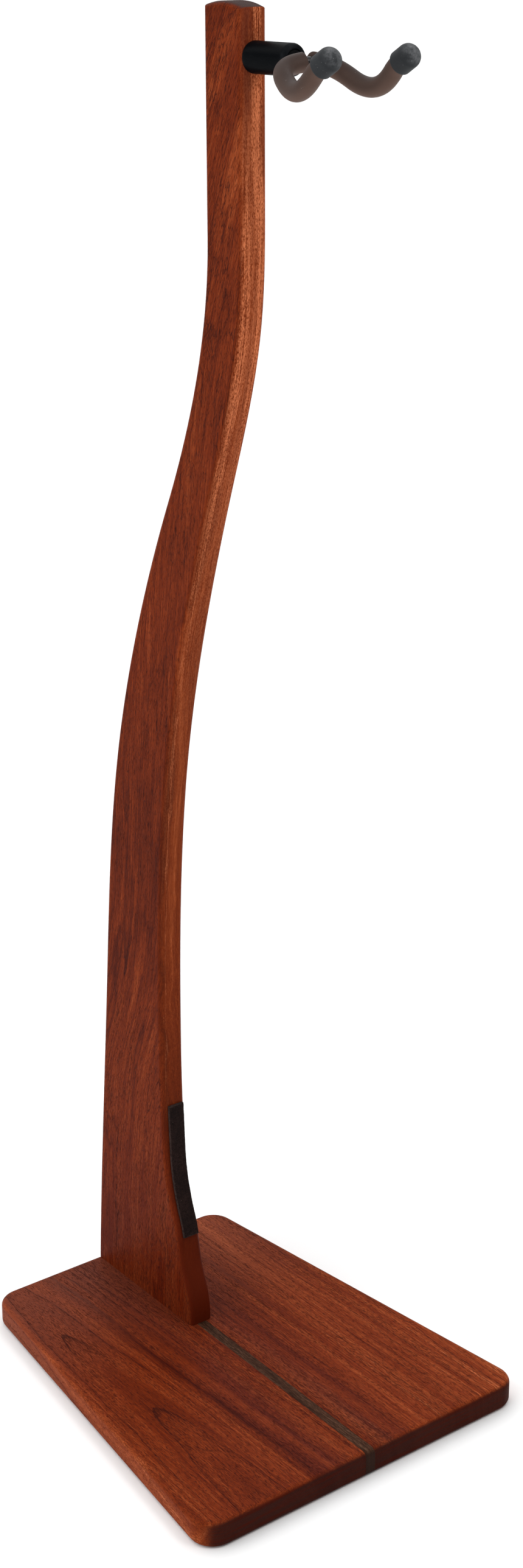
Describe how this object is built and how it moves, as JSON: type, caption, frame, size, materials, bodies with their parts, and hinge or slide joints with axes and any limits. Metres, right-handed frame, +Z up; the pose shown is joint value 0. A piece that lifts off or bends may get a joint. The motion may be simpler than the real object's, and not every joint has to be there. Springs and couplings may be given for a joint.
{
  "type": "guitar stand",
  "caption": "Free-standing wooden guitar stand: a flat base, a curved upright with a soft body pad, and a swivelling rubber-covered neck yoke.",
  "frame": {"origin": "centre of the base's footprint, on the floor", "axes": "+Z up, +X to the right seen from the front, -Y towards the front, where the yoke reaches out"},
  "size_m": [0.3022, 0.35, 1.041],
  "materials": {
    "mahogany": "satin oiled red-brown hardwood with open pores",
    "dark_wood": "satin oiled dark hardwood",
    "pad_felt": "matte dark napped pad",
    "black_plastic": "semi-gloss black",
    "nylon": "black bearing plastic",
    "steel": "zinc plated",
    "brass": "turned",
    "brown_rubber": "smooth satin brown tubing",
    "black_rubber": "matte moulded black"
  },
  "bodies": {
    "stand": {"base_board_left": "mahogany", "base_board_right": "mahogany", "upright": "mahogany", "centre_strip": "dark_wood", "body_pad": "pad_felt", "yoke_barrel": "black_plastic", "front_bushing": "nylon", "rear_bushing": "nylon", "barrel_insert": "brass", "hanger_stud": "steel", "base_bolt_front": "steel", "base_bolt_rear": "steel", "base_washer_front": "steel", "base_washer_rear": "steel", "foot_insert_front": "brass", "foot_insert_rear": "brass"},
    "yoke": {"yoke_rod": "steel", "pivot_shaft": "steel", "thrust_washer": "steel", "retaining_ring": "steel", "yoke_sleeve_left": "brown_rubber", "yoke_sleeve_right": "brown_rubber", "end_cap_left": "black_rubber", "end_cap_right": "black_rubber"}
  },
  "joints": [
    {"name": "yoke_swivel", "type": "hinge", "parent": "stand", "child": "yoke", "pos_m": [0, -0.0804, 1.007], "axis": [0, -1, 0], "continuous": true}
  ]
}
